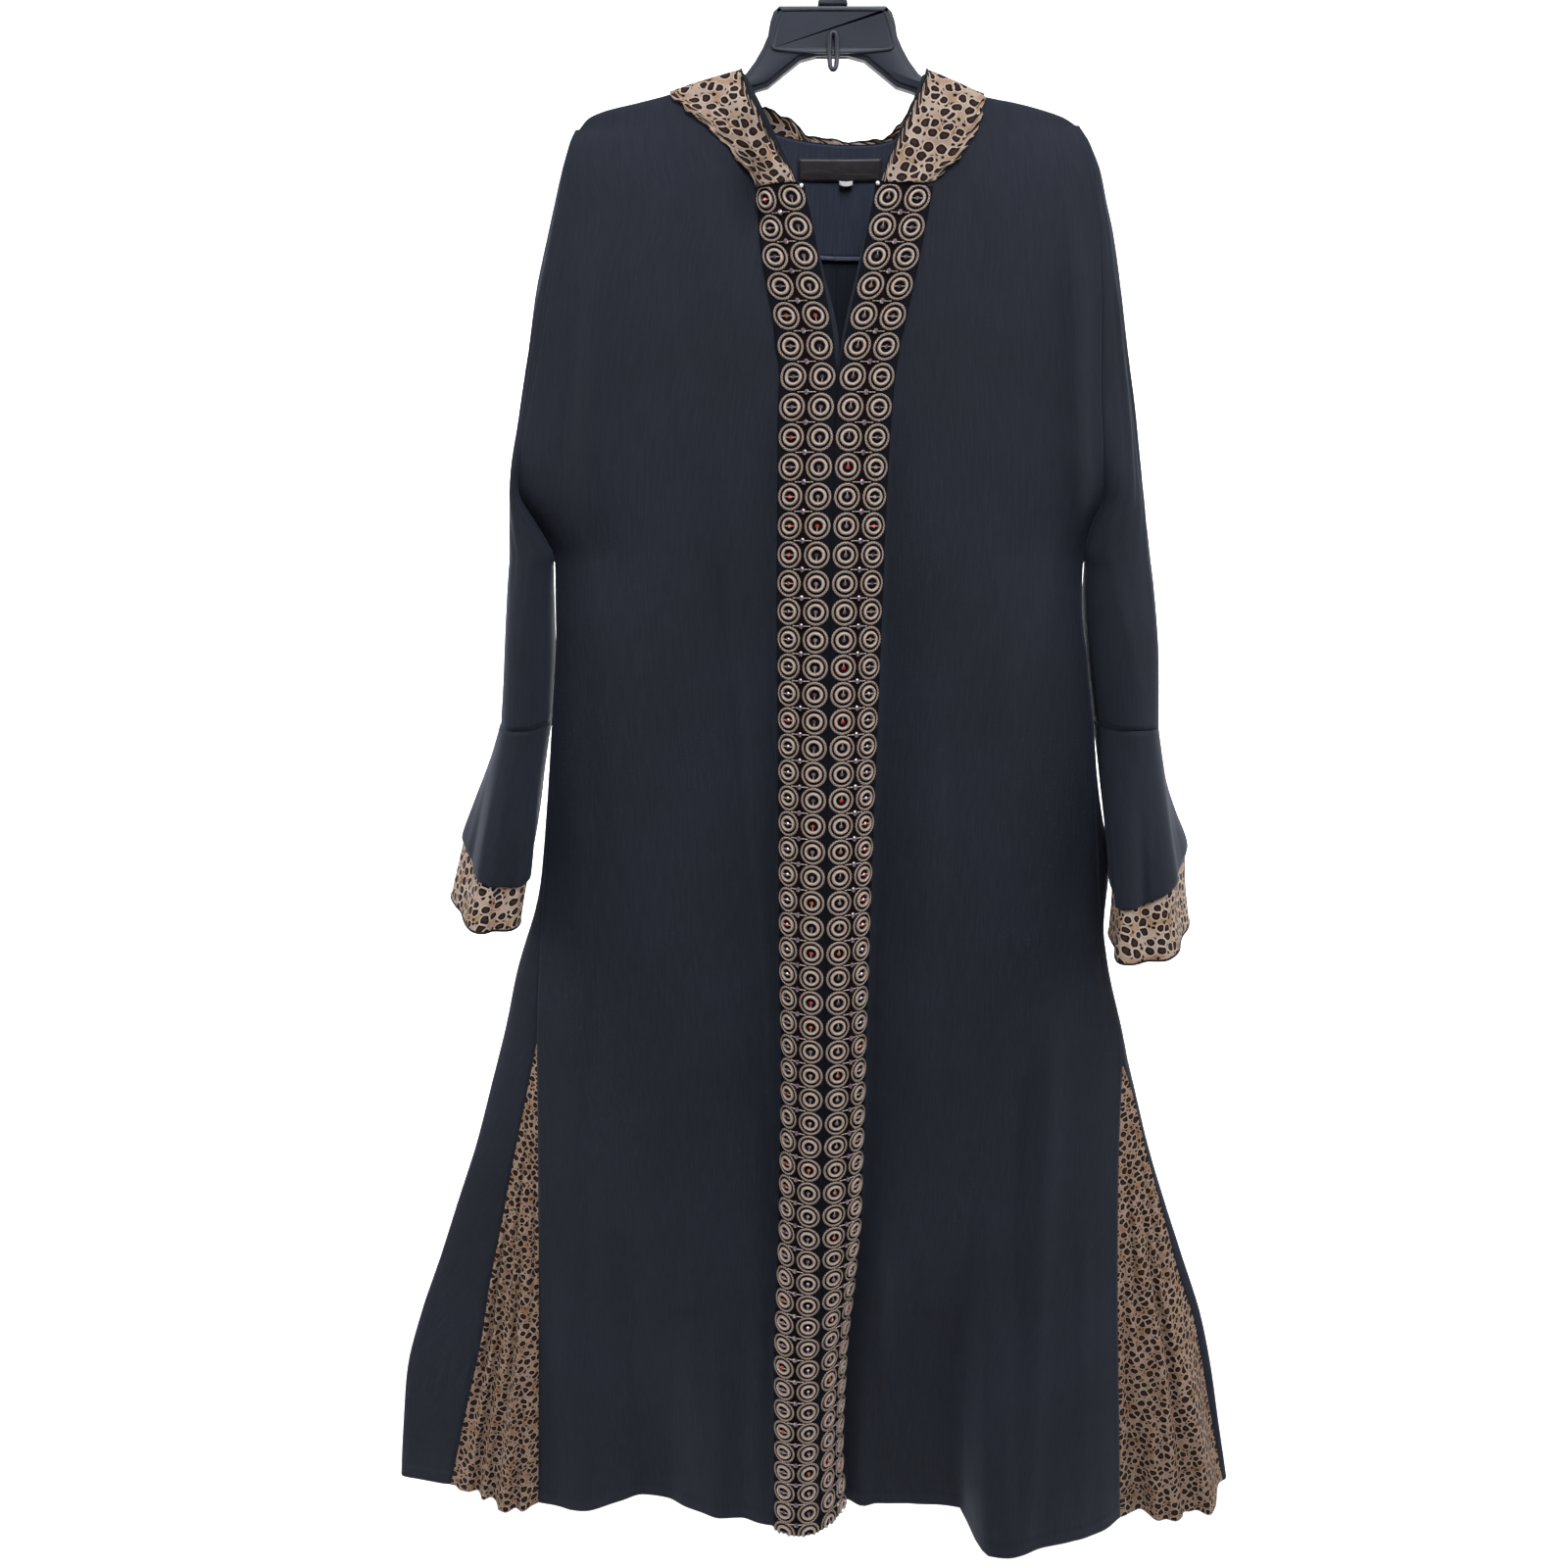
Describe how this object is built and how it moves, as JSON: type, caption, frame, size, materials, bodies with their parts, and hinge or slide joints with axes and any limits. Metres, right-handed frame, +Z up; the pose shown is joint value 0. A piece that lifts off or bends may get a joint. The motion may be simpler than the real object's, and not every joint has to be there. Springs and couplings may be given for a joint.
{
  "type": "abaya on a clothes hanger",
  "caption": "Long abaya slit at the neck, with two strips of ring trim, a printed chiffon collar, side godets and bell cuffs, hanging flat on a plastic hanger with a steel hook.",
  "frame": {"origin": "inside top of the hanger's hook, where a rail bears on it", "axes": "+Z up along the hanging garment, +X across it to the viewer's right, +Y from its front to its back"},
  "size_m": [0.9244, 0.1995, 1.5687],
  "materials": {
    "crepe": "matt black woven crepe",
    "printed_chiffon": "sheer chiffon printed with a leopard pattern",
    "ring_trim": "embroidered rings with stones, on black crepe",
    "label_satin": "woven satin ribbon, bare",
    "tab_tape": "white tape, bare",
    "hanger_plastic": "moulded black polystyrene, glossy",
    "hook_steel": "bent steel wire"
  },
  "bodies": {
    "root": {"front_left": "crepe", "front_right": "crepe", "back_left": "crepe", "back_right": "crepe", "sleeve_left": "crepe", "sleeve_right": "crepe", "cuff_bell_left": "crepe", "cuff_bell_right": "crepe", "back_neck_facing": "crepe", "godet_left": "printed_chiffon", "godet_right": "printed_chiffon", "cuff_under_left": "printed_chiffon", "cuff_under_right": "printed_chiffon", "collar_left": "printed_chiffon", "collar_right": "printed_chiffon", "collar_back": "printed_chiffon", "trim_left": "ring_trim", "trim_right": "ring_trim", "neck_label": "label_satin", "size_tab": "tab_tape", "hanger_body": "hanger_plastic", "hanger_cap": "hanger_plastic", "hanger_small_hook": "hanger_plastic", "hanger_boss": "hanger_plastic", "hanger_hook": "hook_steel"}
  },
  "joints": []
}
